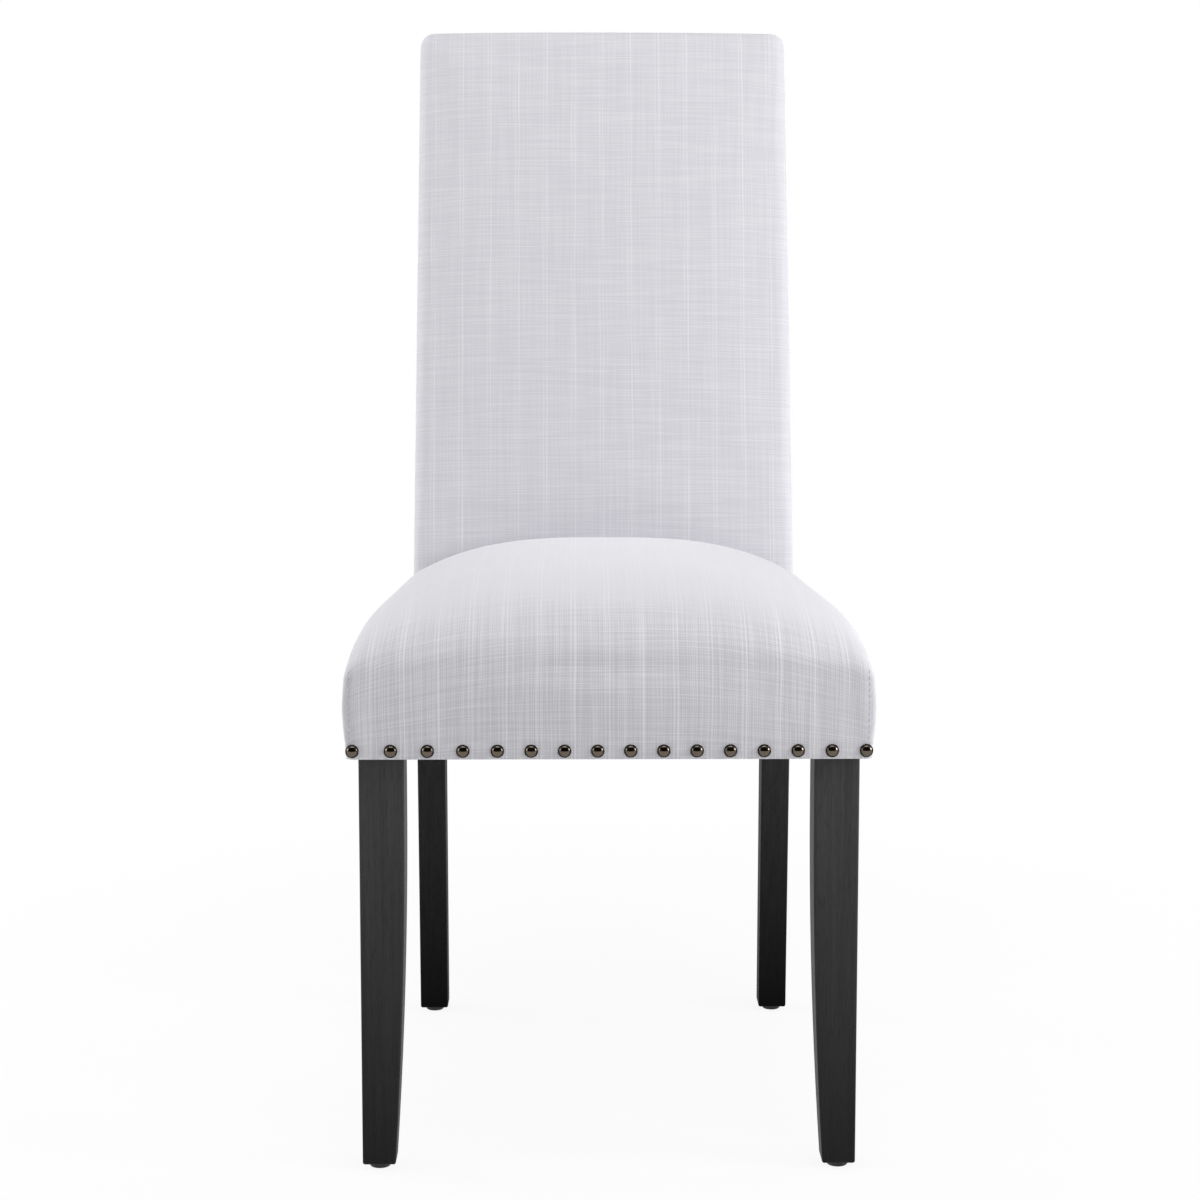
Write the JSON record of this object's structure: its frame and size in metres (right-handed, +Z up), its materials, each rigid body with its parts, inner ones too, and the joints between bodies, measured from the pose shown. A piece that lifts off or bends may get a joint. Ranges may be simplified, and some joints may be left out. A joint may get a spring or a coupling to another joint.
{
  "type": "upholstered dining chair",
  "caption": "Upholstered dining chair with a leaning padded back, a crowned seat edged with nailheads, and tapered black wooden legs.",
  "frame": {"origin": "on the floor under the middle of the chair's box", "axes": "+Z up, +X to the right for someone who looks at the chair's front, +Y from the seat front to the back"},
  "size_m": [0.4448, 0.6018, 1.0035],
  "materials": {
    "upholstery_linen": "pale slub linen weave",
    "dust_cover_cloth": "black non-woven cloth",
    "cushion_foam": "cut polyurethane foam",
    "polyester_wadding": "soft white wadding",
    "black_stained_wood": "black stain under a satin lacquer",
    "frame_wood": "planed, unfinished",
    "dowel_wood": "fluted beech, unfinished",
    "plywood": "sanded, unfinished",
    "hardboard": "smooth brown hardboard",
    "aged_bronze": "antique bronze plating, semi-gloss",
    "zinc_steel": "zinc plated",
    "glide_plastic": "black moulded plastic"
  },
  "bodies": {
    "root": {"seat_cover": "upholstery_linen", "back_cover": "upholstery_linen", "back_cover_rear_panel": "upholstery_linen", "dust_cover": "dust_cover_cloth", "seat_foam": "cushion_foam", "back_foam": "cushion_foam", "back_rear_wadding": "polyester_wadding", "left_front_leg": "black_stained_wood", "right_front_leg": "black_stained_wood", "left_back_post": "black_stained_wood", "right_back_post": "black_stained_wood", "front_rail": "frame_wood", "rear_rail": "frame_wood", "left_side_rail": "frame_wood", "right_side_rail": "frame_wood", "front_corner_blocks": "frame_wood", "rear_corner_blocks": "frame_wood", "back_bottom_rail": "frame_wood", "back_middle_rail": "frame_wood", "back_top_rail": "frame_wood", "rail_dowels": "dowel_wood", "back_rail_dowels": "dowel_wood", "seat_deck": "plywood", "back_panel": "hardboard", "back_rear_board": "hardboard", "front_nailheads": "aged_bronze", "left_side_nailheads": "aged_bronze", "right_side_nailheads": "aged_bronze", "corner_block_screws": "zinc_steel", "deck_screws": "zinc_steel", "dust_cover_staples": "zinc_steel", "back_panel_staples": "zinc_steel", "hanger_bolts": "zinc_steel", "hanger_bolt_washers": "zinc_steel", "hanger_bolt_nuts": "zinc_steel", "seat_bolts": "zinc_steel", "seat_bolt_washers": "zinc_steel", "seat_bolt_inserts": "zinc_steel", "front_leg_glides": "glide_plastic", "rear_leg_glides": "glide_plastic"}
  },
  "joints": []
}
